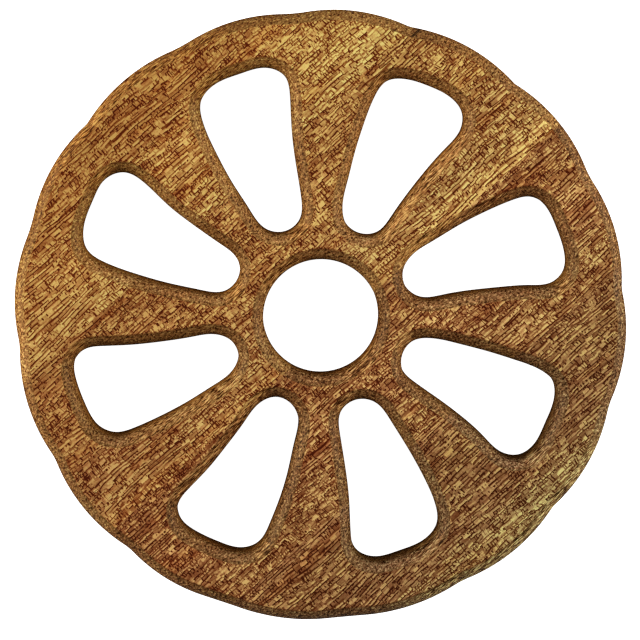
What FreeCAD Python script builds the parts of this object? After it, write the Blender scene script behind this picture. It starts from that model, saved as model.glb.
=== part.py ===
import FreeCAD, Part
import math
import os

# A round, flat, eight-spoked wooden disc with a scalloped rim and a plain centre bore.
# The blank is glued up edge to edge from four boards whose grain runs one way; the outline,
# the bore and the openings are cut through all four, and every edge is rounded over.
# Frame: the bore axis is Z, the disc rests on z = 0, the show face is z = thickness.
# Upper is +Y and right is +X. Directions are in degrees, counterclockwise from +X.

Vector = FreeCAD.Vector

# ---- driving dimensions (mm) ----
thickness = 18.0            # planed board thickness
bore_radius = 19.3
hole_round = 4.0            # round-over of the bore and the openings, both faces
rim_round = 3.7             # round-over of the rim, both faces
inside_rim = 90.0           # the openings end within this radius, the rim lies beyond it

# ---- sizes of the cutting tools ----
cutter_overrun = 1.0        # bore and opening cutters, past each face
strip_overrun = 5.0         # board-splitting blocks, past each face
strip_reach = 400.0         # board-splitting blocks, along and away from the glue line
level_tolerance = 1e-6      # how flat on a face an edge must lie to be rounded

# glue lines: direction, distance from the bore axis towards lower right
glue_lines = [
    (42.3, -50.6),
    (42.3, 5.6),
    (41.2, 52.4),
]
# the boards between the glue lines, in the same order
board_names = [
    "board_upper_left",
    "board_centre",
    "board_right_of_centre",
    "board_lower_right",
]

# rim lobes, counterclockwise: direction of the arc's centre, its distance from the bore
# axis, arc radius, and the radius that blends it into the lobe before it (the notch)
rim_lobes = [
    (-163.73, 41.73, 60.08, 25),
    (-140.83, 42.69, 59.12, 20),
    (-118.65, 44.57, 57.36, 20),
    (-97.09, 34.98, 67.05, 600),
    (-74.54, 36.24, 65.62, 600),
    (-50.88, 41.03, 60.85, 30),
    (-28.25, 42.28, 59.64, 10),
    (-5.94, 43.37, 58.60, 30),
    (16.43, 41.72, 60.15, 13),
    (39.25, 43.59, 58.33, 30),
    (61.84, 42.85, 59.10, 4),
    (84.21, 44.67, 57.38, 13),
    (106.33, 43.05, 59.03, 60),
    (128.89, 42.32, 59.71, 60),
    (151.34, 44.07, 57.98, 6),
    (173.63, 43.34, 58.66, 60),
]

# openings: direction of the centre line, then the points of the closed sawn outline as
# (distance out from the bore axis, distance to the left of the centre line). They are
# eight versions of one teardrop-shaped window, each cut by eye.
openings = [
    (110.2, [(30.39, 1.41), (32.48, -4.50), (39.47, -7.58), (50.52, -9.76), (61.29, -12.31),
             (71.88, -15.61), (79.32, -16.23), (83.75, -11.79), (85.03, -2.92),
             (84.47, 6.84), (80.85, 12.64), (73.48, 14.56), (62.96, 13.94), (51.95, 12.38),
             (41.37, 10.06), (33.31, 7.15)]),
    (65.4, [(30.38, -0.89), (33.19, -5.70), (39.82, -7.81), (49.37, -9.62), (58.93, -11.96),
            (68.06, -14.82), (75.57, -16.68), (81.19, -14.62), (84.01, -9.36),
            (84.54, -0.79), (83.29, 7.81), (80.18, 12.87), (73.99, 14.38), (64.47, 13.91),
            (54.74, 12.71), (45.06, 10.93), (36.10, 8.72), (31.39, 5.01)]),
    (20.2, [(30.10, -1.38), (33.55, -6.05), (40.65, -8.01), (50.17, -9.83), (59.75, -12.29),
            (69.09, -15.05), (76.54, -16.75), (81.50, -14.27), (83.94, -8.18),
            (84.19, 0.63), (82.94, 8.80), (79.27, 13.37), (72.45, 14.57), (62.88, 14.03),
            (53.05, 12.80), (43.41, 10.90), (34.87, 8.58), (30.55, 4.48)]),
    (-24.9, [(29.84, -0.08), (32.49, -5.14), (38.83, -7.56), (48.50, -9.34),
             (58.07, -11.48), (67.09, -14.31), (74.83, -16.68), (80.56, -15.06),
             (83.75, -10.04), (84.19, -1.75), (83.36, 7.10), (80.25, 12.44), (74.32, 14.52),
             (65.18, 14.11), (55.45, 12.89), (45.61, 11.15), (36.36, 8.95), (31.12, 5.55)]),
    (-70.0, [(30.02, 1.25), (32.18, -4.80), (39.07, -7.51), (49.92, -9.60), (60.58, -12.10),
             (71.14, -15.38), (78.73, -15.99), (83.17, -11.51), (84.41, -2.80),
             (83.73, 6.85), (79.99, 12.60), (72.62, 14.40), (61.91, 13.79), (51.12, 12.10),
             (40.49, 9.88), (32.89, 7.00)]),
    (-115.2, [(30.50, 3.25), (30.57, -2.29), (34.92, -6.41), (42.73, -8.30),
              (52.23, -10.24), (61.79, -12.54), (70.74, -15.52), (77.38, -16.52),
              (82.18, -13.46), (84.12, -7.04), (84.17, 2.07), (82.63, 9.72), (78.53, 13.80),
              (71.35, 14.58), (61.49, 13.93), (52.01, 12.44), (42.30, 10.26),
              (34.37, 7.83)]),
    (-160.2, [(30.42, 3.22), (30.63, -2.36), (34.91, -6.49), (42.86, -8.47),
              (52.60, -10.38), (62.16, -12.72), (71.43, -15.62), (78.16, -16.56),
              (82.71, -13.39), (84.51, -6.73), (84.42, 2.35), (82.74, 9.78), (78.40, 13.80),
              (71.26, 14.63), (61.49, 13.83), (51.67, 12.37), (42.24, 10.31),
              (34.29, 7.71)]),
    (154.9, [(30.29, 0.53), (33.22, -5.54), (40.55, -7.93), (51.23, -9.85), (62.07, -12.39),
             (72.10, -15.72), (79.49, -16.01), (84.15, -11.39), (85.11, -2.71),
             (84.02, 7.18), (80.17, 13.04), (72.50, 14.60), (61.75, 13.72), (50.64, 11.96),
             (39.99, 9.53), (32.57, 6.45)]),
]


# ---- plane geometry; points are (x, y) ----
def polar(degrees, radius):
    angle = math.radians(degrees)
    return (radius * math.cos(angle), radius * math.sin(angle))


def outer_crossing(centre_a, radius_a, centre_b, radius_b):
    """The crossing of two circles that lies further from the bore axis."""
    dx, dy = centre_b[0] - centre_a[0], centre_b[1] - centre_a[1]
    gap = math.hypot(dx, dy)
    along = (radius_a * radius_a - radius_b * radius_b + gap * gap) / (2 * gap)
    across = math.sqrt(radius_a * radius_a - along * along)
    x, y = centre_a[0] + along * dx / gap, centre_a[1] + along * dy / gap
    left = (x - across * dy / gap, y + across * dx / gap)
    right = (x + across * dy / gap, y - across * dx / gap)
    return max(left, right, key=lambda point: math.hypot(*point))


def towards(start, target, distance):
    """The point at a distance from start in the direction of target."""
    dx, dy = target[0] - start[0], target[1] - start[1]
    gap = math.hypot(dx, dy)
    return (start[0] + dx * distance / gap, start[1] + dy * distance / gap)


def short_arc(centre, radius, start, end):
    """The short arc of a circle between two points."""
    chord_middle = ((start[0] + end[0]) / 2, (start[1] + end[1]) / 2)
    middle = towards(centre, chord_middle, radius)
    return Part.Arc(Vector(*start, 0), Vector(*middle, 0), Vector(*end, 0)).toShape()


# ---- the whole disc ----
def rim_prism():
    """The scalloped blank: convex arcs, blended into each other at the notches."""
    lobes = [(polar(deg, offset), radius, blend) for deg, offset, radius, blend in rim_lobes]
    notches = []
    for i, (centre, radius, blend) in enumerate(lobes):
        last_centre, last_radius, _ = lobes[i - 1]
        notch_centre = outer_crossing(last_centre, last_radius + blend,
                                      centre, radius + blend)
        notches.append((notch_centre, towards(last_centre, notch_centre, last_radius),
                        towards(centre, notch_centre, radius)))
    edges = []
    for i, (centre, radius, blend) in enumerate(lobes):
        notch_centre, notch_start, notch_end = notches[i]
        lobe_end = notches[(i + 1) % len(lobes)][1]
        edges.append(short_arc(notch_centre, blend, notch_start, notch_end))
        edges.append(short_arc(centre, radius, notch_end, lobe_end))
    return Part.Face(Part.Wire(edges)).extrude(Vector(0, 0, thickness))


def opening_prism(degrees, outline):
    """The cutter for one opening, a smooth closed curve through its outline points."""
    cos, sin = polar(degrees, 1.0)
    points = [Vector(out * cos - left * sin, out * sin + left * cos, -cutter_overrun)
              for out, left in outline]
    curve = Part.BSplineCurve()
    curve.interpolate(Points=points, PeriodicFlag=True)
    face = Part.Face(Part.Wire([curve.toShape()]))
    return face.extrude(Vector(0, 0, thickness + 2 * cutter_overrun))


def lies_at(edge, z):
    box = edge.BoundBox
    return abs(box.ZMin - z) < level_tolerance and abs(box.ZMax - z) < level_tolerance


def middle_radius(edge):
    """Distance from the bore axis to the middle of an edge."""
    point = edge.valueAt((edge.FirstParameter + edge.LastParameter) / 2)
    return math.hypot(point.x, point.y)


def round_over(shape, radius, limit=math.inf):
    """Rounds the edges of both faces whose middles lie within the limit radius."""
    edges = [edge for z in (0.0, thickness) for edge in shape.Edges
             if lies_at(edge, z) and middle_radius(edge) < limit]
    return shape.makeFillet(radius, edges)


def make_disc():
    disc = round_over(rim_prism(), rim_round)
    disc = disc.cut(Part.makeCylinder(bore_radius, thickness + 2 * cutter_overrun,
                                      Vector(0, 0, -cutter_overrun)))
    for degrees, outline in openings:
        disc = disc.cut(opening_prism(degrees, outline))
    return round_over(disc.Solids[0], hole_round, inside_rim)


# ---- the four boards ----
def half_space(degrees, offset, side):
    """A large block on one side of a glue line; side +1 is towards lower right."""
    along = Vector(*polar(degrees, 1.0), 0)
    across = Vector(along.y, -along.x, 0)
    near = across * offset
    far = across * (offset + side * strip_reach)
    run = along * strip_reach
    corners = [near - run, near + run, far + run, far - run, near - run]
    drop = Vector(0, 0, -strip_overrun)
    wire = Part.makePolygon([corner + drop for corner in corners])
    return Part.Face(wire).extrude(Vector(0, 0, thickness + 2 * strip_overrun))


def make_board(disc, i):
    """The part of the disc between glue lines i - 1 and i, where they exist."""
    board = disc
    if i > 0:
        board = board.common(half_space(*glue_lines[i - 1], 1))
    if i < len(glue_lines):
        board = board.common(half_space(*glue_lines[i], -1))
    if len(board.Solids) != 1 or not board.Solids[0].isValid():
        raise RuntimeError("%s is not one valid solid" % board_names[i])
    return board.Solids[0]


os.makedirs("parts", exist_ok=True)
disc = make_disc()
for i, name in enumerate(board_names):
    make_board(disc, i).exportStep("parts/%s.step" % name)
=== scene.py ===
"""A round wooden disc with eight openings between eight spokes, a bore and a lobed rim.

The disc lies flat on z = 0 with the bore on the Z axis. It is swept and filled as one blank, then
sawn along the glue lines into four boards, one object per CAD node, each with its own figured
wood. Seen from above with +y up, the boards run from upper left to lower right.
Lengths are millimetres unless a comment says otherwise; objects are made in metres.
"""

import math

import bmesh
import bpy
import numpy as np
from mathutils import Matrix, Vector, noise
from mathutils.geometry import delaunay_2d_cdt


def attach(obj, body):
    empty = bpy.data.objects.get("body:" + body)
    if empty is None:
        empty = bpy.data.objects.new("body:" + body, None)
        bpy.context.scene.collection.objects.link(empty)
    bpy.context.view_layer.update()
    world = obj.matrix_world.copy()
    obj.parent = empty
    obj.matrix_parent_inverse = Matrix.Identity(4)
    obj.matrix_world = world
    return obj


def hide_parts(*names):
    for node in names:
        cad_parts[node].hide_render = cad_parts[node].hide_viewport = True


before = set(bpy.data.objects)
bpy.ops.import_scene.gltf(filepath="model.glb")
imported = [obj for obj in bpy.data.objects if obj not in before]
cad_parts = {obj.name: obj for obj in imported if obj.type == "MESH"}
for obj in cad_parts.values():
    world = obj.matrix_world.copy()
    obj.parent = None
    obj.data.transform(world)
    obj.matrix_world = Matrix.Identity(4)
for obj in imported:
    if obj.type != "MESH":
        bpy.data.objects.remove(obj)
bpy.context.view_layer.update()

MM = 0.001

# ---------------------------------------------------------------- dimensions
THICKNESS = 18.0
BORE_RADIUS = 19.3
HOLE_ROUND = 4.0  # round-over of the openings and the bore
RIM_ROUND = 3.7
GRAIN_DEG = 42.3

# glue lines: direction, distance from the bore axis towards lower right
GLUE_LINES = [(GRAIN_DEG, -50.6), (GRAIN_DEG, 5.6), (41.2, 52.4)]

# rim lobes: direction of the arc's centre, its distance from the bore axis, its radius,
# radius of the notch blend before it
RIM_LOBES = [
    (-163.73, 41.73, 60.08, 25), (-140.83, 42.69, 59.12, 20),
    (-118.65, 44.57, 57.36, 20), (-97.09, 34.98, 67.05, 600),
    (-74.54, 36.24, 65.62, 600), (-50.88, 41.03, 60.85, 30),
    (-28.25, 42.28, 59.64, 10), (-5.94, 43.37, 58.60, 30),
    (16.43, 41.72, 60.15, 13), (39.25, 43.59, 58.33, 30),
    (61.84, 42.85, 59.10, 4), (84.21, 44.67, 57.38, 13),
    (106.33, 43.05, 59.03, 60), (128.89, 42.32, 59.71, 60),
    (151.34, 44.07, 57.98, 6), (173.63, 43.34, 58.66, 60),
]

# openings: direction of the centre line, then outline points as
# (distance out along the centre line, distance to its left)
OPENINGS = [
    (110.2, [(30.39, 1.41), (32.48, -4.50), (39.47, -7.58), (50.52, -9.76), (61.29, -12.31),
             (71.88, -15.61), (79.32, -16.23), (83.75, -11.79), (85.03, -2.92),
             (84.47, 6.84), (80.85, 12.64), (73.48, 14.56), (62.96, 13.94), (51.95, 12.38),
             (41.37, 10.06), (33.31, 7.15)]),
    (65.4, [(30.38, -0.89), (33.19, -5.70), (39.82, -7.81), (49.37, -9.62), (58.93, -11.96),
            (68.06, -14.82), (75.57, -16.68), (81.19, -14.62), (84.01, -9.36),
            (84.54, -0.79), (83.29, 7.81), (80.18, 12.87), (73.99, 14.38), (64.47, 13.91),
            (54.74, 12.71), (45.06, 10.93), (36.10, 8.72), (31.39, 5.01)]),
    (20.2, [(30.10, -1.38), (33.55, -6.05), (40.65, -8.01), (50.17, -9.83), (59.75, -12.29),
            (69.09, -15.05), (76.54, -16.75), (81.50, -14.27), (83.94, -8.18),
            (84.19, 0.63), (82.94, 8.80), (79.27, 13.37), (72.45, 14.57), (62.88, 14.03),
            (53.05, 12.80), (43.41, 10.90), (34.87, 8.58), (30.55, 4.48)]),
    (-24.9, [(29.84, -0.08), (32.49, -5.14), (38.83, -7.56), (48.50, -9.34),
             (58.07, -11.48), (67.09, -14.31), (74.83, -16.68), (80.56, -15.06),
             (83.75, -10.04), (84.19, -1.75), (83.36, 7.10), (80.25, 12.44), (74.32, 14.52),
             (65.18, 14.11), (55.45, 12.89), (45.61, 11.15), (36.36, 8.95), (31.12, 5.55)]),
    (-70.0, [(30.02, 1.25), (32.18, -4.80), (39.07, -7.51), (49.92, -9.60), (60.58, -12.10),
             (71.14, -15.38), (78.73, -15.99), (83.17, -11.51), (84.41, -2.80),
             (83.73, 6.85), (79.99, 12.60), (72.62, 14.40), (61.91, 13.79), (51.12, 12.10),
             (40.49, 9.88), (32.89, 7.00)]),
    (-115.2, [(30.50, 3.25), (30.57, -2.29), (34.92, -6.41), (42.73, -8.30),
              (52.23, -10.24), (61.79, -12.54), (70.74, -15.52), (77.38, -16.52),
              (82.18, -13.46), (84.12, -7.04), (84.17, 2.07), (82.63, 9.72), (78.53, 13.80),
              (71.35, 14.58), (61.49, 13.93), (52.01, 12.44), (42.30, 10.26),
              (34.37, 7.83)]),
    (-160.2, [(30.42, 3.22), (30.63, -2.36), (34.91, -6.49), (42.86, -8.47),
              (52.60, -10.38), (62.16, -12.72), (71.43, -15.62), (78.16, -16.56),
              (82.71, -13.39), (84.51, -6.73), (84.42, 2.35), (82.74, 9.78), (78.40, 13.80),
              (71.26, 14.63), (61.49, 13.83), (51.67, 12.37), (42.24, 10.31),
              (34.29, 7.71)]),
    (154.9, [(30.29, 0.53), (33.22, -5.54), (40.55, -7.93), (51.23, -9.85), (62.07, -12.39),
             (72.10, -15.72), (79.49, -16.01), (84.15, -11.39), (85.11, -2.71),
             (84.02, 7.18), (80.17, 13.04), (72.50, 14.60), (61.75, 13.72), (50.64, 11.96),
             (39.99, 9.53), (32.57, 6.45)]),
]

# mesh density
TRACE_STEP = 0.2  # spacing of the first, uneven trace of an outline
EDGE_STEP = 0.42  # even spacing of the vertices along every edge
ROUND_ROWS = 11
WALL_ROWS = 6
LEVEL_ROWS = (0.9, 0.35)  # rows on the level faces, this far beyond the round-over
NET_PITCH = 1.7  # triangle net on the level faces
NET_REACH = 104
NET_GAP = 0.9  # net points keep this far from the edges

SQUARENESS = 1.62  # of the round-over: 2 would be a quarter circle, 1 a plain chamfer
WALL_BOW = 0.05  # how far the walls are hollowed halfway up


# ---------------------------------------------------------------- outlines
def polar(deg, radius):
    return (radius * math.cos(math.radians(deg)), radius * math.sin(math.radians(deg)))


def outer_crossing(centre_a, radius_a, centre_b, radius_b):
    """The crossing of two circles that lies further from the bore axis."""
    dx, dy = centre_b[0] - centre_a[0], centre_b[1] - centre_a[1]
    gap = math.hypot(dx, dy)
    along = (radius_a * radius_a - radius_b * radius_b + gap * gap) / (2 * gap)
    aside = math.sqrt(radius_a * radius_a - along * along)
    x, y = centre_a[0] + along * dx / gap, centre_a[1] + along * dy / gap
    left = (x - aside * dy / gap, y + aside * dx / gap)
    right = (x + aside * dy / gap, y - aside * dx / gap)
    return max(left, right, key=lambda point: math.hypot(*point))


def towards(start, end, distance):
    """The point this far from start on the line to end."""
    length = math.hypot(end[0] - start[0], end[1] - start[1])
    return (start[0] + (end[0] - start[0]) * distance / length,
            start[1] + (end[1] - start[1]) * distance / length)


def arc_points(centre, radius, start, end):
    """Points along the short arc from start towards end, end left out."""
    first = math.atan2(start[1] - centre[1], start[0] - centre[0])
    last = math.atan2(end[1] - centre[1], end[0] - centre[0])
    turn = (last - first + math.pi) % (2 * math.pi) - math.pi
    count = max(3, int(round(abs(turn) * radius / TRACE_STEP)))
    angle = first + turn * np.arange(count) / count
    return np.c_[centre[0] + radius * np.cos(angle), centre[1] + radius * np.sin(angle)]


def rim_outline():
    """Lobe arcs joined by blend arcs; each blend touches the lobes on both sides of it."""
    lobes = [(polar(deg, distance), radius, blend) for deg, distance, radius, blend in RIM_LOBES]
    notches = []
    for i, (centre, radius, blend) in enumerate(lobes):
        last_centre, last_radius, _ = lobes[i - 1]
        middle = outer_crossing(last_centre, last_radius + blend, centre, radius + blend)
        notches.append((middle, towards(last_centre, middle, last_radius),
                        towards(centre, middle, radius)))
    parts = []
    for i, (centre, radius, blend) in enumerate(lobes):
        middle, before, after = notches[i]
        next_before = notches[(i + 1) % len(lobes)][1]
        parts.append(arc_points(middle, blend, before, after))
        parts.append(arc_points(centre, radius, after, next_before))
    return np.vstack(parts)


def second_derivatives(points, lengths):
    """Second derivatives, at its points, of the closed cubic with chord-length parameter."""
    count = len(points)
    matrix = np.zeros((count, count))
    right_side = np.zeros((count, 2))
    for i in range(count):
        j = (i + 1) % count
        before, after = lengths[i - 1], lengths[i]
        matrix[i, i - 1] += before
        matrix[i, i] += 2 * (before + after)
        matrix[i, j] += after
        right_side[i] = 6 * ((points[j] - points[i]) / after
                             - (points[i] - points[i - 1]) / before)
    return np.linalg.solve(matrix, right_side)


def spline_outline(points):
    """Points along the closed cubic through the given points."""
    lengths = np.hypot(*(np.roll(points, -1, 0) - points).T)
    bend = second_derivatives(points, lengths)
    out = []
    for i, length in enumerate(lengths):
        j = (i + 1) % len(points)
        count = max(2, int(round(length / TRACE_STEP)))
        done = np.arange(count)[:, None] / count * length
        out.append(
            bend[i] * (length - done) ** 3 / (6 * length)
            + bend[j] * done**3 / (6 * length)
            + (points[i] / length - bend[i] * length / 6) * (length - done)
            + (points[j] / length - bend[j] * length / 6) * done
        )
    return np.vstack(out)


def opening_outline(deg, outline):
    cosine, sine = polar(deg, 1.0)
    return spline_outline(np.array([
        (out * cosine - left * sine, out * sine + left * cosine) for out, left in outline
    ]))


def bore_outline():
    count = int(round(2 * math.pi * BORE_RADIUS / EDGE_STEP))
    angle = 2 * math.pi * np.arange(count) / count
    return np.c_[BORE_RADIUS * np.cos(angle), BORE_RADIUS * np.sin(angle)]


def evened(outline):
    """The closed loop resampled to even spacing."""
    closed = np.vstack([outline, outline[:1]])
    run = np.r_[0, np.cumsum(np.hypot(*np.diff(closed, axis=0).T))]
    count = int(round(run[-1] / EDGE_STEP))
    stops = np.arange(count) / count * run[-1]
    return np.c_[np.interp(stops, run, closed[:, 0]), np.interp(stops, run, closed[:, 1])]


def anticlockwise(loop):
    x, y = loop[:, 0], loop[:, 1]
    return 0.5 * np.sum(x * np.roll(y, -1) - np.roll(x, -1) * y) > 0


def into_wood(loop, wood_inside):
    """Unit normals of the closed loop, pointing into the wood and slightly smoothed."""
    tangent = np.roll(loop, -1, 0) - np.roll(loop, 1, 0)
    normal = np.c_[-tangent[:, 1], tangent[:, 0]] / np.hypot(*tangent.T)[:, None]
    if anticlockwise(loop) != wood_inside:
        normal = -normal
    for _ in range(2):
        normal = normal + 0.5 * (np.roll(normal, 1, 0) + np.roll(normal, -1, 0))
        normal /= np.hypot(*normal.T)[:, None]
    return normal


# ---------------------------------------------------------------- the blank
def wander(points, scale, seed):
    """Smooth noise, about -1 to 1, at 2-D points."""
    return np.array([noise.noise(Vector((x / scale, y / scale, seed))) for x, y in points])


def round_over(loop, radius, seed):
    """Rows of (distance into the wood, depth below the face), and the depth of the last row."""
    # the round-over is a little wider and deeper here and there
    width = radius * (1 + 0.045 * wander(loop, scale=9.0, seed=seed)
                      + 0.035 * wander(loop, scale=3.1, seed=seed + 5))
    depth = radius * (1 + 0.05 * wander(loop, scale=14.0, seed=seed + 9))
    rows = [(width + beyond, np.zeros(len(loop))) for beyond in LEVEL_ROWS]
    for angle in np.linspace(0, math.pi / 2, ROUND_ROWS):
        out = math.sin(angle) ** (2 / SQUARENESS)
        up = math.cos(angle) ** (2 / SQUARENESS)
        rows.append((width * (1 - out), depth * (1 - up)))
    return rows, depth


def edge_rows(loop, radius, top_seed, bottom_seed):
    """Rows of (distance into the wood, z) from the top face over the edge to the bottom face."""
    top, top_depth = round_over(loop, radius, top_seed)
    bottom, bottom_depth = round_over(loop, radius, bottom_seed)
    rows = [(inset, THICKNESS - drop) for inset, drop in top]
    for k in range(1, WALL_ROWS):
        part = k / WALL_ROWS
        z = (THICKNESS - top_depth) * (1 - part) + bottom_depth * part
        bow = WALL_BOW * math.sin(math.pi * part)
        uneven = wander(loop + 31.0 * part, scale=6.0, seed=bottom_seed + 40)
        rows.append((bow * (1 + uneven), z))
    return rows + bottom[::-1]


def sweep_edge(verts, faces, index, loop, radius, wood_inside):
    """Adds one edge of the blank; returns its innermost vertex rings on top and bottom."""
    top_seed = 3.7 + 11.3 * index
    rows = edge_rows(loop, radius, top_seed, top_seed + 101.0)
    normal = into_wood(loop, wood_inside)
    count = len(loop)
    base = len(verts)
    for inset, z in rows:
        moved = loop + normal * inset[:, None]
        verts.extend(zip(moved[:, 0], moved[:, 1], z))
    outward = anticlockwise(loop) == wood_inside
    last = base + (len(rows) - 1) * count
    for upper in range(base, last, count):
        lower = upper + count
        for i in range(count):
            j = (i + 1) % count
            quad = (upper + i, lower + i, lower + j, upper + j)
            faces.append(quad if outward else quad[::-1])
    return list(range(base, base + count)), list(range(last, last + count))


def inside(loop, points):
    """Even-odd test of many points against one closed loop."""
    x, y = points[:, 0], points[:, 1]
    hit = np.zeros(len(points), bool)
    for (x0, y0), (x1, y1) in zip(loop, np.roll(loop, -1, 0)):
        if y0 == y1:
            continue
        cross = (y0 > y) != (y1 > y)
        hit ^= cross & (x < (x1 - x0) * (y - y0) / (y1 - y0) + x0)
    return hit


def in_wood(loops, points):
    """Points inside the first loop and outside all the others."""
    keep = inside(loops[0], points)
    for loop in loops[1:]:
        keep &= ~inside(loop, points)
    return keep


def near(loop, points, gap):
    """Points closer than gap to the loop's vertices (grid lookup)."""
    cells = {}
    for x, y in loop:
        cells.setdefault((int(x // gap), int(y // gap)), []).append((x, y))

    def is_near(x, y):
        column, line = int(x // gap), int(y // gap)
        return any(
            (x - loop_x) ** 2 + (y - loop_y) ** 2 < gap * gap
            for i in (-1, 0, 1)
            for j in (-1, 0, 1)
            for loop_x, loop_y in cells.get((column + i, line + j), ())
        )

    return np.array([is_near(x, y) for x, y in points], bool)


def net_points(loops):
    """An even triangular net of points in the wood, clear of the edges."""
    columns = np.arange(-NET_REACH, NET_REACH, NET_PITCH)
    lines = np.arange(-NET_REACH, NET_REACH, NET_PITCH * 0.866)
    points = np.array([(x + (k % 2) * NET_PITCH / 2, y) for k, y in enumerate(lines)
                       for x in columns])
    points = points[in_wood(loops, points)]
    for loop in loops:
        points = points[~near(loop, points, NET_GAP)]
    return points


def fill_face(verts, faces, rings, z, faces_up):
    """Triangulates a level face between the rings, over an even net of points."""
    loops = [np.array([verts[i][:2] for i in ring]) for ring in rings]
    coords, ids, edges = [], [], []
    for ring, loop in zip(rings, loops):
        first = len(coords)
        coords += [Vector(point) for point in loop]
        ids += ring
        edges += [(first + i, first + (i + 1) % len(ring)) for i in range(len(ring))]
    for point in net_points(loops):
        coords.append(Vector(point))
        ids.append(None)
    flat_verts, _, triangles, origins, _, _ = delaunay_2d_cdt(coords, edges, [], 0, 1e-7)
    where = []
    for vert, origin in zip(flat_verts, origins):
        known = [ids[i] for i in origin if ids[i] is not None]
        if known:
            where.append(known[0])
        else:
            where.append(len(verts))
            verts.append((vert.x, vert.y, z))
    middles = np.array([(flat_verts[a] + flat_verts[b] + flat_verts[c]) / 3
                        for a, b, c in triangles])
    for triangle, keep in zip(triangles, in_wood(loops, middles)):
        if keep:
            face = tuple(where[i] for i in triangle)
            faces.append(face if faces_up else face[::-1])


def sanded(x, y, z):
    """Pulls a vertex in by a few hundredths of a millimetre, unevenly."""
    rise = 0.045 * noise.noise(Vector((x / 13.0, y / 13.0, z / 13.0 + 2.0)))
    rise += 0.02 * noise.noise(Vector((x / 4.0, y / 4.0, z / 4.0 + 7.0)))
    pull = (0.065 - rise) * 0.5
    return (x, y, z - pull if z > THICKNESS / 2 else z + pull)


def build_blank():
    edges = [(evened(rim_outline()), RIM_ROUND, True)]
    for deg, outline in OPENINGS:
        edges.append((evened(opening_outline(deg, outline)), HOLE_ROUND, False))
    edges.append((bore_outline(), HOLE_ROUND, False))

    verts, faces = [], []
    rings = [sweep_edge(verts, faces, i, *edge) for i, edge in enumerate(edges)]
    top_rings, bottom_rings = zip(*rings)
    fill_face(verts, faces, top_rings, z=THICKNESS, faces_up=True)
    fill_face(verts, faces, bottom_rings, z=0.0, faces_up=False)

    wear_and_sheen = [sanded(*vert) for vert in verts]
    mesh = bpy.data.meshes.new("blank")
    mesh.from_pydata([(x * MM, y * MM, z * MM) for x, y, z in wear_and_sheen], [], faces)
    mesh.update()
    return mesh


def sawn(name, blank, low, high):
    """The part of the blank between two glue lines, closed on its glued faces."""
    bm = bmesh.new()
    bm.from_mesh(blank)
    for line, side in ((low, -1), (high, 1)):
        if line is None:
            continue
        deg, offset = line
        x, y = polar(deg, 1.0)
        across = Vector((y, -x, 0.0))
        cut = bmesh.ops.bisect_plane(
            bm, geom=bm.verts[:] + bm.edges[:] + bm.faces[:], dist=1e-8,
            plane_co=across * offset * MM, plane_no=across * side, clear_outer=True,
        )
        edges = [e for e in cut["geom_cut"] if isinstance(e, bmesh.types.BMEdge)]
        edges = [e for e in edges if e.is_boundary]
        for face in bmesh.ops.holes_fill(bm, edges=edges, sides=0)["faces"]:
            for edge in face.edges:
                edge.smooth = False
    lone = [vert for vert in bm.verts if not vert.link_faces]
    bmesh.ops.delete(bm, geom=lone, context="VERTS")
    bmesh.ops.triangulate(bm, faces=[face for face in bm.faces if len(face.verts) > 4])
    bmesh.ops.recalc_face_normals(bm, faces=bm.faces)
    for face in bm.faces:
        face.smooth = True
    mesh = bpy.data.meshes.new(name)
    bm.to_mesh(mesh)
    bm.free()
    return mesh


# ---------------------------------------------------------------- shader writing
def linear(rgb):
    """Screen colour 0-255 to linear."""
    shares = [level / 255.0 for level in rgb]
    return tuple(s / 12.92 if s <= 0.04045 else ((s + 0.055) / 1.055) ** 2.4 for s in shares)


class Value:
    """A node output that takes part in arithmetic; each operator adds one Math node."""

    def __init__(self, shader, socket):
        self.shader = shader
        self.socket = socket

    def __add__(self, other):
        return self.shader.math("ADD", self, other)

    def __radd__(self, other):
        return self.shader.math("ADD", other, self)

    def __sub__(self, other):
        return self.shader.math("SUBTRACT", self, other)

    def __rsub__(self, other):
        return self.shader.math("SUBTRACT", other, self)

    def __mul__(self, other):
        return self.shader.math("MULTIPLY", self, other)

    def __truediv__(self, other):
        return self.shader.math("DIVIDE", self, other)

    def __abs__(self):
        return self.shader.math("ABSOLUTE", self)


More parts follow.
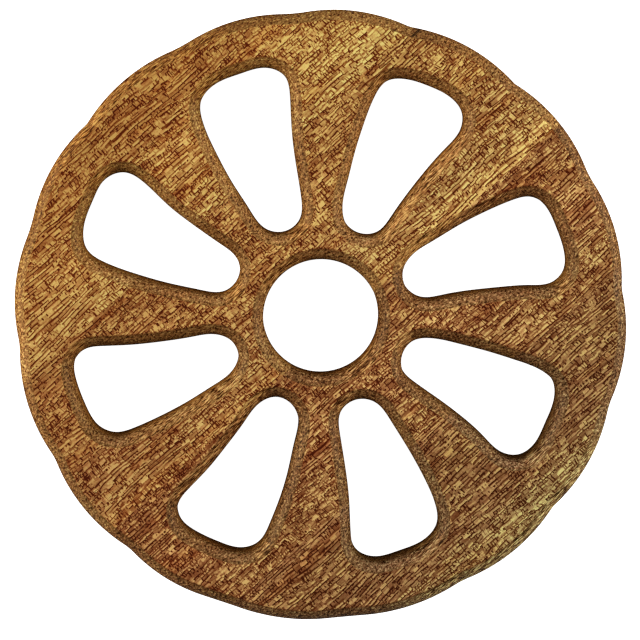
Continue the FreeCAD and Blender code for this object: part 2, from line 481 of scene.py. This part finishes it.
class Shader:
    """A new material and helpers that write its nodes. Inputs may be numbers or Values."""

    def __init__(self, name):
        self.material = bpy.data.materials.new(name)
        self.material.use_nodes = True
        self.tree = self.material.node_tree
        self.tree.nodes.clear()

    def node(self, kind, inputs, **settings):
        node = self.tree.nodes.new(kind)
        for name, setting in settings.items():
            setattr(node, name, setting)
        for key, value in inputs.items():
            if isinstance(value, Value):
                self.tree.links.new(value.socket, node.inputs[key])
            else:
                node.inputs[key].default_value = value
        return node

    def value(self, kind, inputs, output=0, **settings):
        return Value(self, self.node(kind, inputs, **settings).outputs[output])

    def separate(self, kind, value):
        return [Value(self, socket) for socket in self.node(kind, {0: value}).outputs]

    def math(self, operation, *values):
        return self.value("ShaderNodeMath", dict(enumerate(values)), operation=operation)

    def max(self, one, other):
        return self.math("MAXIMUM", one, other)

    def step(self, x, zero, one, shape="SMOOTHSTEP"):
        """Goes from 0 at x = zero to 1 at x = one, flat beyond; zero may be the larger number."""
        ends = (zero, one, 0.0, 1.0)
        if not isinstance(zero, Value) and not isinstance(one, Value) and zero > one:
            ends = (one, zero, 1.0, 0.0)
        inputs = dict(zip(("From Min", "From Max", "To Min", "To Max"), ends), Value=x)
        return self.value("ShaderNodeMapRange", inputs, clamp=True, interpolation_type=shape)

    def xyz(self, x, y, z):
        return self.value("ShaderNodeCombineXYZ", {0: x, 1: y, 2: z})

    def noise(self, x, y, z, detail=0.0, rough=0.5):
        inputs = {"Vector": self.xyz(x, y, z), "Scale": 1.0, "Detail": detail, "Roughness": rough}
        return self.value("ShaderNodeTexNoise", inputs, noise_dimensions="3D")

    def random(self, x, y, z, output="Value"):
        """One random number, or colour, per whole-number cell."""
        return self.value("ShaderNodeTexWhiteNoise", {"Vector": self.xyz(x, y, z)}, output,
                          noise_dimensions="3D")

    def mix(self, share, start, end):
        return self.value("ShaderNodeMix", {0: share, 2: start, 3: end}, data_type="FLOAT")

    def mix_rgb(self, share, start, end, how="MIX"):
        return self.value("ShaderNodeMix", {0: share, 6: start, 7: end}, output=2,
                          data_type="RGBA", blend_type=how)

    def tint(self, colour, tint, where=None):
        """The colour multiplied by a tint, everywhere or by a mask."""
        if isinstance(tint, tuple):
            tint = (*tint, 1.0)
        tinted = self.mix_rgb(1.0, colour, tint, "MULTIPLY")
        return tinted if where is None else self.mix_rgb(where, colour, tinted)

    def brighten(self, colour, gain):
        return self.tint(colour, self.xyz(gain, gain, gain))

    def ramp(self, x, stops):
        """stops: (position, linear red, green, blue)."""
        node = self.node("ShaderNodeValToRGB", {0: x})
        elements = node.color_ramp.elements
        while len(elements) < len(stops):
            elements.new(0.5)
        # all positions first, then the colours
        for element, (position, _) in zip(elements, stops):
            element.position = position
        for element, (_, colour) in zip(elements, stops):
            element.color = (*colour, 1.0)
        return Value(self, node.outputs[0])

    def finish(self, surface):
        self.node("ShaderNodeOutputMaterial", {"Surface": surface})
        return self.material


# ---------------------------------------------------------------- wood
# where the eight tones, darkest pore to brightest fibre, sit on their ramps
FACE_STOPS = (0.0, 0.08, 0.2, 0.36, 0.56, 0.74, 0.88, 1.0)
EDGE_STOPS = (0.0, 0.1, 0.24, 0.40, 0.58, 0.76, 0.9, 1.0)
STRIPE_REACH = 110.0  # the stripe ramp spans this far to both sides of the bore axis
BUMP_PER_TONE = 1.0

# rows of figure: row height, then length along the row and width of each kind of mark
WIDE_ROWS = dict(height=1.22, plate=3.4, rung=1.14, pore=1.7,
                 line_width=0.58, rung_width=0.56, pore_width=0.70)
NARROW_ROWS = dict(height=1.04, plate=2.6, rung=1.00, pore=1.4,
                   line_width=0.54, rung_width=0.50, pore_width=0.62)


class Wood(Shader):
    """Figured hardwood under a thin oil finish, solid through the board, with its grain along
    GRAIN_DEG.
    """

    def __init__(self, name, seed):
        super().__init__(name)
        self.seed_a, self.seed_b, self.seed_c = seed, seed * 1.7 + 3.0, seed * 2.3 + 9.0
        cosine, sine = polar(GRAIN_DEG, 1.0)

        # place in millimetres; across runs towards lower right
        place = self.value("ShaderNodeTexCoord", {}, output="Object")
        x, y, z = (axis * (1 / MM) for axis in self.separate("ShaderNodeSeparateXYZ", place))
        self.x, self.y, self.z = x, y, z
        self.along = x * cosine + y * sine
        self.across = x * sine - y * cosine

        # which way the surface faces: level is 1 on the faces and 0 on the walls,
        # endness is 1 where an edge crosses the fibres
        normal = self.value("ShaderNodeNewGeometry", {}, output="Normal")
        normal_x, normal_y, normal_z = self.separate("ShaderNodeSeparateXYZ", normal)
        self.level = abs(normal_z)
        end_part = abs(normal_x * cosine + normal_y * sine)
        flat = self.math("SQRT", self.max(1.0 - self.level * self.level, 1e-4))
        self.endness = end_part / flat
        self.facing_y = normal_y / flat

    def grain_noise(self, size, seed, detail=0.0, rough=0.5, along=None, across=None):
        """Noise with its size given along the grain, across it and upwards."""
        places = (along or self.along, across or self.across, self.z)
        x, y, z = (place * (1 / length) for place, length in zip(places, size))
        return self.noise(x, y, z + seed, detail, rough)

    def lay_grain(self, woven_bias, woven_per_mm, sapwood):
        """Bends the grain and splits the board into ribbons that are figured differently."""
        along, across = self.along, self.across
        seed_a, seed_b, seed_c = self.seed_a, self.seed_b, self.seed_c

        # slow waves, and a little jitter at the size of one pore line
        self.wave = self.grain_noise((46.0, 21.0, 30.0), seed_a, detail=1.0) - 0.5
        self.jitter_across = self.grain_noise((3.1, 2.3, 2.3), seed_b) - 0.5
        self.jitter_along = self.grain_noise((2.1, 2.9, 2.3), seed_c) - 0.5
        self.jitter_row = self.grain_noise((22.0, 2.4, 2.4), seed_c + 2.0) - 0.5
        self.bent_across = across + (self.wave * 5.0 + self.jitter_across * 0.75)
        self.bent_along = along + self.jitter_along * 0.9

        # woven ribbons carry crossing rays
        ribbon = self.grain_noise((65.0, 6.2, 14.0), seed_b, detail=1.5, rough=0.6,
                                  across=self.bent_across)
        self.patch = self.grain_noise((17.0, 8.0, 12.0), seed_c, detail=1.0)
        lean = ribbon + (self.patch - 0.5) * 0.5 + (woven_bias + along * woven_per_mm)
        self.woven = self.step(lean, zero=0.40, one=0.54)
        if sapwood:
            start, width = sapwood
            outer = self.step(across, zero=start, one=start + width)
            self.woven = self.max(self.woven, outer * 0.8)
        red = self.grain_noise((40.0, 4.6, 14.0), seed_a + 5.0, detail=1.0,
                               across=self.bent_across)
        self.ruddy = self.step(red, zero=0.56, one=0.70)

        # the figure differs between the upper and lower half of the thickness
        middle = THICKNESS / 2
        self.under = self.step(self.z, zero=middle + 0.1, one=middle - 0.1, shape="LINEAR") * 17.0
        # noise levels above which rungs and pores appear, plain to woven
        self.rung_level = self.mix(self.woven, 0.67, 0.475)
        self.pore_level = self.mix(self.woven, 0.44, 0.60)

    def rows(self, seed, height, plate, rung, pore, line_width, rung_width, pore_width):
        """Rows of pale fibre plates between pore lines, crossed by short rays like rungs.

        Returns the dark marks, a random number per plate and per rung, and the lit middle.
        """
        step, random, under = self.step, self.random, self.under
        along, across = self.along, self.across

        # the rows bend with the grain and hop up or down block by block
        bend = self.wave * 5.0 + (self.jitter_across * 0.42 + self.jitter_row * 1.4)
        block = self.math("FLOOR", (across + self.jitter_across * 1.6) * (1.0 / (height * 2.6))
                          + 100.0)
        here = self.math("FLOOR", (along + self.jitter_along * 2.0) * (1.0 / (plate * 0.8))
                         + random(block, seed, 5.0) * 7.0)
        hop = (random(here, block, under) - 0.5) * (self.woven * (height * 0.8))
        place = (across + bend + hop + (300.0 + seed)) * (1.0 / height)
        row = self.math("FLOOR", place)
        in_row = self.math("FRACT", place)

        # marks are shifted, spaced unevenly and leant from row to row
        shift = random(row, seed, under) * 9.0
        run = along + self.jitter_along * 0.5 + (300.0 + seed)
        uneven = self.noise(along * (1 / 1.15), row * 3.13, under + (seed + 2.0)) - 0.5
        lean = (in_row - 0.5) * ((random(row, seed + 3.0, under) - 0.5) * 0.7)
        run = run + (uneven * 0.9 + lean)

        def cells(length, stair):
            """Place within a cell, and three random numbers of that cell."""
            place = run * (1.0 / length) + row * stair + shift
            cell = self.math("FLOOR", place)
            colour = random(cell, row, under + (seed + length), output="Color")
            return self.math("FRACT", place), self.separate("ShaderNodeSeparateColor", colour)

        in_plate, (plate_line, plate_end, plate_tone) = cells(plate, stair=0.31)
        in_rung, (rung_tone, rung_chance, rung_place) = cells(rung, stair=0.43)
        in_pore, (_, pore_chance, _) = cells(pore, stair=0.57)
        rung_runs = self.noise(along * (1 / 2.2), row * 5.31, under + seed)
        pore_runs = self.noise(along * (1 / 4.4), row * 7.77, under + (seed + 5.0))

        # pore line along the lower edge of each row, thick and thin, now and then missing
        thick = (0.62 + plate_tone * 0.95) * (line_width / height)
        line = step(in_row / thick, zero=1.0, one=0.35)
        line = line * step(plate_line, zero=0.84, one=0.66)
        end = (step(in_plate, zero=0.42 / plate, one=0.15 / plate)
               * step(plate_end, zero=0.62, one=0.5))

        # rungs, in runs
        thick = (0.7 + rung_place * 0.6) * (rung_width / rung)
        rungs_on = step(rung_runs, self.rung_level - 0.03, self.rung_level + 0.03)
        off = abs(in_rung - (0.28 + rung_place * 0.44))
        rungs = (step(off / thick, zero=0.62, one=0.25)
                 * (rungs_on * step(rung_chance, zero=0.94, one=0.84)))

        # open pores: dark dots sitting on a pore line, in runs
        pores_on = (step(pore_runs, self.pore_level, self.pore_level + 0.05)
                    * step(pore_chance, zero=0.85, one=0.7))
        pores = (step(in_pore, zero=pore_width / pore, one=0.4 * pore_width / pore)
                 * (step(in_row, zero=1.25 * pore_width / height, one=0.8 * pore_width / height)
                    * pores_on))

        line = line * self.mix(self.woven, 0.9, 0.74)
        dark = self.max(self.max(line, end * 0.7), self.max(rungs * 0.88, pores * 1.15))
        lit = step(in_row, zero=1.0, one=0.62) * step(in_row, zero=0.3, one=0.45)
        return dark, plate_tone, rung_tone, lit

    def face(self, tones, narrow_share, yellower):
        """Tone and colour of the level faces."""
        wide = self.rows(self.seed_a, **WIDE_ROWS)
        narrow = self.rows(self.seed_b, **NARROW_ROWS)
        level = 0.5 + 0.3 * (0.5 - narrow_share)
        choice = self.noise(self.along * (1 / 16.0), self.across * (1 / 4.5), self.seed_b,
                            detail=1.0)
        choice = self.step(choice, zero=level - 0.025, one=level + 0.025)
        dark, plate, cell, lit = (self.mix(choice, *pair) for pair in zip(wide, narrow))

        strand = self.grain_noise((12.0, 0.8, 1.0), self.seed_a + 8.0, detail=1.0,
                                  along=self.bent_along, across=self.bent_across)
        fleck = self.grain_noise((0.8, 0.45, 0.6), self.seed_b)
        # base tone of the fibre, then how strongly each part of the figure moves it
        light = 0.665 + (plate - 0.5) * 0.61
        light = light + (cell - 0.5) * self.woven * 0.34
        light = light + (strand - 0.5) * 0.72
        light = light + (fleck - 0.5) * 0.38
        light = light + lit * 0.08
        light = light + self.woven * 0.06
        light = light - self.ruddy * 0.05
        tone = light - dark * (0.47 + fleck * 0.64)
        rgb = self.ramp(tone, list(zip(FACE_STOPS, map(linear, tones))))
        rgb = self.tint(rgb, linear((244, 216, 196)), where=self.ruddy * 0.55)

        # plates differ a little in colour, from tan to straw
        tan = self.tint(rgb, (1.03, 0.93, 0.93))
        straw = self.tint(rgb, (1.0, 0.99, 0.94))
        strawness = self.step(cell * 0.5 + strand * 0.5, zero=0.3, one=0.6, shape="LINEAR")
        rgb = self.mix_rgb(strawness, tan, straw)

        less_red = 1.0 - self.along * (yellower * 0.6)
        more_yellow = 1.0 + self.along * (yellower * 0.4)
        return tone, self.tint(rgb, self.xyz(less_red, more_yellow, more_yellow))

    def edge(self, tones, gain):
        """Tone and colour of the round-overs and walls: open end grain or long fibre."""
        speck = self.grain_noise((0.66, 0.56, 0.56), self.seed_a, detail=1.0, rough=0.6)
        self.coarse_speck = self.grain_noise((1.3, 0.8, 0.8), self.seed_c)
        end_tone = 0.46 + (speck - 0.5) * 2.0 + (self.coarse_speck - 0.5) * 0.9
        fibre = self.grain_noise((3.2, 0.42, 0.5), self.seed_b, detail=1.0, rough=0.7)
        broad = self.grain_noise((12.0, 1.5, 3.0), self.seed_a, across=self.bent_across)
        side_tone = 0.46 + (fibre - 0.5) * 3.2 + ((broad - 0.5) * 0.6 + (speck - 0.5) * 0.9)
        self.long_fibre = self.step(self.endness + (self.patch - 0.5) * 0.25, zero=0.52, one=0.24)
        tone = self.mix(self.long_fibre, end_tone, side_tone)
        rgb = self.ramp(tone, list(zip(EDGE_STOPS, map(linear, tones))))

        # small flecks from reddish to greenish, and rusty patches
        moss = self.grain_noise((1.1, 0.8, 0.9), self.seed_c + 4.0)
        red = self.tint(rgb, (1.04, 0.96, 0.92))
        green = self.tint(rgb, (0.98, 1.02, 0.96))
        rgb = self.mix_rgb(self.step(moss, zero=0.35, one=0.6, shape="LINEAR"), red, green)
        rust = self.grain_noise((9.0, 5.0, 6.0), self.seed_b + 2.0, detail=1.0)
        rust = self.step(rust, zero=0.50, one=0.66)
        rgb = self.tint(rgb, linear((249, 231, 210)), where=rust * 0.34)

        # long fibre stays lighter than end grain, which drinks the oil
        rgb = self.tint(rgb, (1.22, 1.16, 1.07), where=self.long_fibre)
        # the edge furthest to the upper left is yellower
        honey = self.step(self.across, zero=-62.0, one=-80.0)
        rgb = self.tint(rgb, (0.95, 1.06, 1.02), where=honey)
        return tone, self.brighten(rgb, self.rim_level() * gain)

    def rim_level(self):
        """Brightness of the edges, painted light and shade: the rim is darker towards +y and -y,
        paler at lower left.
        """
        x, y = self.x, self.y
        radius = self.math("SQRT", x * x + y * y)
        sides = y * abs(y) / self.max(radius * radius, 1.0)
        # painted shade on the rim's top and bottom sides, painted light towards its lower left
        painted_rim_shade = self.max(sides, 0.0) * 0.34 + self.max(sides * -1.0, 0.0) * 0.12
        lower_left = (x * -0.906 + y * -0.423) / self.max(radius, 1.0)
        self.on_rim = self.step(radius, zero=88.0, one=93.0)
        return self.mix(self.on_rim, 1.0, (1.12 - painted_rim_shade) * (1.05 + lower_left * 0.12))

    def broad_stripes(self, rgb, stripes, lighter):
        place = (self.across + self.wave * 3.0 + STRIPE_REACH) / (2 * STRIPE_REACH)
        # the ramp holds the tints at half strength; the gain doubles them again
        stops = [((offset + STRIPE_REACH) / (2 * STRIPE_REACH), [0.5 * part for part in tint])
                 for offset, tint in stripes]
        tint = self.ramp(place, stops)
        cloud = self.grain_noise((30.0, 13.0, 15.0), self.seed_b + 1.0, detail=2.0)
        gain = (0.84 + cloud * 0.32) * (1.0 + self.along * lighter) * 2.0
        return self.brighten(self.tint(rgb, tint), gain)

    def pale_sapwood(self, rgb, start, width):
        """Pale greenish-yellow sapwood beyond this distance across the grain."""
        ragged = self.noise(self.along * (1 / 18.0), self.across * (1 / 3.0), self.seed_a,
                            detail=1.0)
        sap = self.step(self.across + (ragged - 0.5) * 9.0, zero=start, one=start + width)
        return self.tint(rgb, (1.12, 1.20, 1.24), where=sap)

    def paint_wall_shade(self, rgb, brink):
        """Painted shade on the steep round-over, painted light lifting the walls, and painted
        shade low on the walls.
        """
        # painted shade: the steep part of the round-over is darkened
        steep = self.step(self.level, zero=0.85, one=0.25)
        dark = self.mix(self.on_rim, brink, 0.62)
        rgb = self.tint(rgb, self.xyz(dark, dark * 0.97, dark * 0.92), where=steep)
        wall = self.step(self.level, zero=0.30, one=0.10)
        # painted light: the walls are lifted a little where the lamps barely reach them
        rgb = self.tint(rgb, (1.35, 1.18, 0.90), where=wall)
        # painted shade, darker towards the bottom of the walls by the floor
        painted_low_wall_shade = wall * self.step(self.z, zero=12.0, one=3.0)
        return self.tint(rgb, (0.52, 0.48, 0.44), where=painted_low_wall_shade)

    def paint_edge_light_and_shade(self, rgb):
        """Painted light and shade on the round-overs by the way they face: a painted red-brown
        shade line on edges facing -y, a painted pale sheen on the openings' edges facing +y, and
        a little painted light on edges facing sideways.
        """
        step, facing, level = self.step, self.facing_y, self.level
        squared = facing * facing
        down = self.max(facing * -1.0, 0.0) * self.max(facing * -1.0, 0.0)
        upward = self.max(facing, 0.0) * (facing * squared)
        upward = upward * self.max(facing, 0.0)
        sideways = 1.0 - squared
        sideways = sideways * sideways
        # two bands of the round-over: where it leaves the face, and halfway down
        start = step(level, zero=0.9995, one=0.990) * step(level, zero=0.90, one=0.965)
        middle = step(level, zero=0.93, one=0.84) * step(level, zero=0.35, one=0.60)
        # painted sheen, not wear: the openings' round-overs facing +y are paler and greyer
        wear_and_sheen = middle * upward * (1.0 - self.on_rim)
        # painted shade, redder, on round-overs facing -y
        painted_down_shade = down * (start + middle * 0.5)
        # painted light on edges facing sideways, painted shade on those facing -y
        shade = 1.0 + start * (sideways * 0.12 - down * 0.44)
        shade = shade + wear_and_sheen * 0.22
        return self.tint(rgb, self.xyz(
            shade * (1.0 + painted_down_shade * 0.05),
            shade * (1.0 - painted_down_shade * 0.12 + wear_and_sheen * 0.02),
            shade * (1.0 - painted_down_shade * 0.22 + wear_and_sheen * 0.16),
        ))

    def dark_check(self, rgb, offset, start):
        """A short dark line along the grain at this offset, from start outwards."""
        close = self.step(abs(self.across - offset), zero=0.5, one=0.28)
        check = close * self.step(self.along, zero=start - 0.5, one=start + 0.5)
        return self.tint(rgb, (0.24, 0.20, 0.17), where=check)

    def oil(self, rgb, tone, edge):
        """Thin satin finish, drier in the pores and on end grain."""
        rough = 0.46 + (0.6 - tone) * 0.22
        rough = self.mix(edge, rough, self.mix(self.long_fibre, 0.52, 0.40))
        bump = self.value("ShaderNodeBump", {
            "Strength": 0.35,
            "Distance": 0.12 * MM,
            "Height": tone * BUMP_PER_TONE,
        })
        return self.finish(self.value("ShaderNodeBsdfPrincipled", {
            "Base Color": rgb,
            "Roughness": rough,
            "Specular IOR Level": self.step(self.level, zero=0.35, one=0.95) * 0.08,
            "Specular Tint": (1.0, 0.72, 0.42, 1.0),
            "Normal": bump,
        }))


def wood(name, seed, face_tones, edge_tones, stripes, lighter, yellower, narrow_share,
         woven_bias, woven_per_mm, edge_gain=1.0, brink=0.62, check=None, sapwood=None):
    """The material of one board.

    face_tones, edge_tones: eight screen colours, darkest pore to brightest fibre.
    stripes: (offset across the grain, brightness of red, green, blue).
    lighter, yellower: change of brightness and of hue per mm along the grain.
    narrow_share: share of the board with narrow rows.
    woven_bias, woven_per_mm: share with crossing rays, and its growth along the grain.
    brink: how dark the painted shade on the steep part of the round-over is around the openings.
    check: (offset across the grain, start along it) of a short dark line.
    sapwood: (start across the grain, width of the change).
    """
    shader = Wood(name, seed)
    shader.lay_grain(woven_bias, woven_per_mm, sapwood)
    face_tone, face_rgb = shader.face(face_tones, narrow_share, yellower)
    edge_tone, edge_rgb = shader.edge(edge_tones, edge_gain)

    # the change from face to edge is quick, with a slightly ragged line
    ragged = (shader.coarse_speck - 0.5) * 0.02
    edge = shader.step(shader.level + ragged, zero=0.992, one=0.955)
    rgb = shader.mix_rgb(edge, face_rgb, edge_rgb)
    tone = shader.mix(edge, face_tone, edge_tone)

    rgb = shader.broad_stripes(rgb, stripes, lighter)
    if sapwood:
        rgb = shader.pale_sapwood(rgb, *sapwood)
    rgb = shader.paint_wall_shade(rgb, brink)
    rgb = shader.paint_edge_light_and_shade(rgb)
    if check:
        rgb = shader.dark_check(rgb, *check)
    return shader.oil(rgb, tone, edge)


# ---------------------------------------------------------------- the four boards
# object name, CAD node, slot, glue lines on the upper left and lower right, wood
BOARDS = [
    ("upper_left_board", "board_upper_left", "golden_board", None, GLUE_LINES[0], dict(
        name="golden_figured_wood", seed=11.0,
        face_tones=[(80, 27, 6), (103, 45, 12), (120, 65, 24), (145, 94, 45),
                    (169, 122, 64), (189, 148, 80), (198, 162, 89), (208, 175, 99)],
        edge_tones=[(62, 28, 6), (86, 46, 15), (112, 70, 32), (127, 83, 41),
                    (145, 100, 52), (166, 121, 66), (185, 141, 80), (201, 160, 92)],
        stripes=[(-100, (0.80, 0.68, 0.63)), (-86, (0.82, 0.72, 0.69)),
                 (-75, (1.04, 1.04, 1.06)), (-62, (1.06, 1.12, 1.17)),
                 (-51, (1.08, 1.22, 1.34))],
        lighter=0.0014, yellower=0.0010, narrow_share=0.2,
        woven_bias=0.0, woven_per_mm=0.0017, edge_gain=0.95, brink=0.53)),
    ("centre_board", "board_centre", "centre_board", GLUE_LINES[0], GLUE_LINES[1], dict(
        name="centre_figured_wood", seed=23.0,
        face_tones=[(72, 24, 5), (93, 39, 10), (112, 57, 21), (137, 87, 43),
                    (162, 114, 62), (185, 141, 79), (198, 159, 90), (212, 177, 103)],
        edge_tones=[(49, 23, 5), (71, 39, 13), (99, 63, 29), (116, 78, 40),
                    (137, 97, 52), (156, 115, 65), (171, 131, 76), (185, 147, 88)],
        stripes=[(-51, (0.88, 0.85, 0.84)), (-40, (0.89, 0.84, 0.84)),
                 (-26, (0.98, 0.98, 0.99)), (-14, (0.91, 0.89, 0.97)),
                 (-4, (0.95, 1.01, 1.11)), (5, (1.14, 1.21, 1.25))],
        lighter=0.0021, yellower=0.0012, narrow_share=0.4,
        woven_bias=0.03, woven_per_mm=0.0002, check=(GLUE_LINES[0][1] + 1.9, 84.5))),
    ("right_of_centre_board", "board_right_of_centre", "reddish_board",
     GLUE_LINES[1], GLUE_LINES[2], dict(
        name="reddish_figured_wood", seed=37.0,
        face_tones=[(64, 20, 4), (84, 34, 10), (101, 51, 20), (121, 74, 38),
                    (143, 96, 54), (168, 123, 72), (191, 150, 89), (210, 173, 105)],
        edge_tones=[(42, 19, 5), (60, 32, 11), (85, 53, 25), (100, 67, 35),
                    (120, 84, 47), (142, 105, 62), (163, 124, 76), (182, 147, 92)],
        stripes=[(5, (0.94, 0.90, 0.93)), (17, (0.92, 0.86, 0.87)),
                 (26, (1.16, 1.18, 1.25)), (34, (0.93, 0.86, 0.92)),
                 (44, (1.02, 1.08, 1.14)), (52, (1.0, 1.02, 1.06))],
        lighter=0.0010, yellower=0.0006, narrow_share=0.6,
        woven_bias=0.0, woven_per_mm=-0.0008, brink=0.56)),
    ("lower_right_board", "board_lower_right", "sapwood_edge_board", GLUE_LINES[2], None, dict(
        name="sapwood_edge_figured_wood", seed=53.0,
        face_tones=[(56, 19, 4), (74, 33, 10), (91, 49, 20), (111, 71, 38),
                    (133, 93, 55), (158, 120, 73), (177, 141, 86), (196, 164, 99)],
        edge_tones=[(38, 19, 6), (55, 32, 13), (78, 51, 27), (96, 66, 38),
                    (118, 87, 54), (140, 109, 71), (159, 131, 87), (176, 151, 102)],
        stripes=[(52, (1.02, 0.94, 0.97)), (64, (1.03, 1.06, 1.06)),
                 (75, (0.90, 0.88, 0.94)), (85, (0.93, 0.92, 0.98)),
                 (94, (1.04, 1.25, 1.30)), (100, (1.02, 1.22, 1.26))],
        lighter=0.0003, yellower=0.0004, narrow_share=0.5,
        woven_bias=-0.14, woven_per_mm=-0.0003, brink=0.42, sapwood=(82.0, 9.0))),
]


def make_boards():
    blank = build_blank()
    for name, node, slot, low, high, look in BOARDS:
        mesh = sawn(name, blank, low, high)
        material = wood(**look)
        mesh.materials.append(material)
        piece = bpy.data.objects.new(name, mesh)
        bpy.context.scene.collection.objects.link(piece)
        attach(piece, "root")
        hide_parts(node)
        # the hidden CAD board carries the same finish
        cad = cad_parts[node]
        cad.data.materials.clear()
        cad.data.materials.append(material)
    bpy.data.meshes.remove(blank)


# ---------------------------------------------------------------- stage, light, camera
FLOOR_REACH = 3.0  # metres to each side
FLOOR_DROP = 0.2
FLOOR_LIFT = 1.0

# soft boxes, in metres and watts: name, place, size, power
SOFTBOXES = [
    ("left_box", (-1.395, 0.20, 0.43), (0.9, 0.6), 34.5),
    ("right_box", (1.395, 0.20, 0.43), (0.9, 0.6), 31.5),
    ("back_box", (0.0, 1.15, 0.80), (0.9, 0.5), 6.2),
]
LIGHT_TARGET = (0, 0, 0.01)  # metres

CAMERA_OFFSET = (-28.0, 111.0, 1150.0)  # from the middle of the top face
VIEW_WIDTH = 212.16  # width of the view at the top face
SENSOR_WIDTH = 36.0


def floor_material():
    shader = Shader("pale_floor")
    diffuse = shader.value("ShaderNodeBsdfDiffuse", {"Color": (0.78, 0.78, 0.78, 1)})
    # only the camera sees this lift: the floor stays pale without lighting the disc from below
    seen = shader.value("ShaderNodeLightPath", {}, output="Is Camera Ray")
    glow = shader.value("ShaderNodeEmission",
                        {"Color": (1, 1, 1, 1), "Strength": seen * FLOOR_LIFT})
    return shader.finish(shader.value("ShaderNodeAddShader", {0: diffuse, 1: glow}))


def make_floor():
    corners = [(x * FLOOR_REACH, y * FLOOR_REACH, 0)
               for x, y in ((-1, -1), (1, -1), (1, 1), (-1, 1))]
    mesh = bpy.data.meshes.new("floor")
    mesh.from_pydata(corners, [], [(0, 1, 2, 3)])
    mesh.materials.append(floor_material())
    floor = bpy.data.objects.new("floor", mesh)
    floor.location.z = -FLOOR_DROP * MM
    bpy.context.scene.collection.objects.link(floor)


def make_softbox(name, place, size, power):
    data = bpy.data.lights.new(name, "AREA")
    data.shape = "RECTANGLE"
    data.size, data.size_y = size
    data.energy = power
    light = bpy.data.objects.new(name, data)
    light.location = place
    light.rotation_mode = "QUATERNION"
    aim = Vector(LIGHT_TARGET) - Vector(place)
    light.rotation_quaternion = aim.to_track_quat("-Z", "Y")
    bpy.context.scene.collection.objects.link(light)


def set_world_and_render():
    world = bpy.data.worlds.new("studio")
    world.use_nodes = True
    background = world.node_tree.nodes["Background"]
    background.inputs["Color"].default_value = (1, 1, 1, 1)
    background.inputs["Strength"].default_value = 0.08
    scene = bpy.context.scene
    scene.world = world
    scene.view_settings.view_transform = "Standard"
    scene.view_settings.look = "None"
    scene.cycles.filter_width = 1.3  # keeps the pore lines crisp
    scene.cycles.use_denoising = False  # the denoiser smears the finest lines


def make_camera():
    data = bpy.data.cameras.new("camera")
    camera = bpy.data.objects.new("camera", data)
    target = Vector((0, 0, THICKNESS * MM))
    place = target + Vector(CAMERA_OFFSET) * MM
    ahead = (target - place).normalized()
    right = ahead.cross(Vector((0, 1, 0))).normalized()
    up = right.cross(ahead)
    camera.matrix_world = Matrix((
        (right.x, up.x, -ahead.x, place.x),
        (right.y, up.y, -ahead.y, place.y),
        (right.z, up.z, -ahead.z, place.z),
        (0, 0, 0, 1),
    ))
    data.sensor_width = SENSOR_WIDTH
    data.lens = SENSOR_WIDTH * (target - place).length / (VIEW_WIDTH * MM)
    data.shift_x = -0.0023125
    data.shift_y = -0.002828125
    data.clip_start = 0.05
    data.clip_end = 20.0
    bpy.context.scene.collection.objects.link(camera)
    bpy.context.scene.camera = camera


make_boards()
make_floor()
for softbox in SOFTBOXES:
    make_softbox(*softbox)
set_world_and_render()
make_camera()
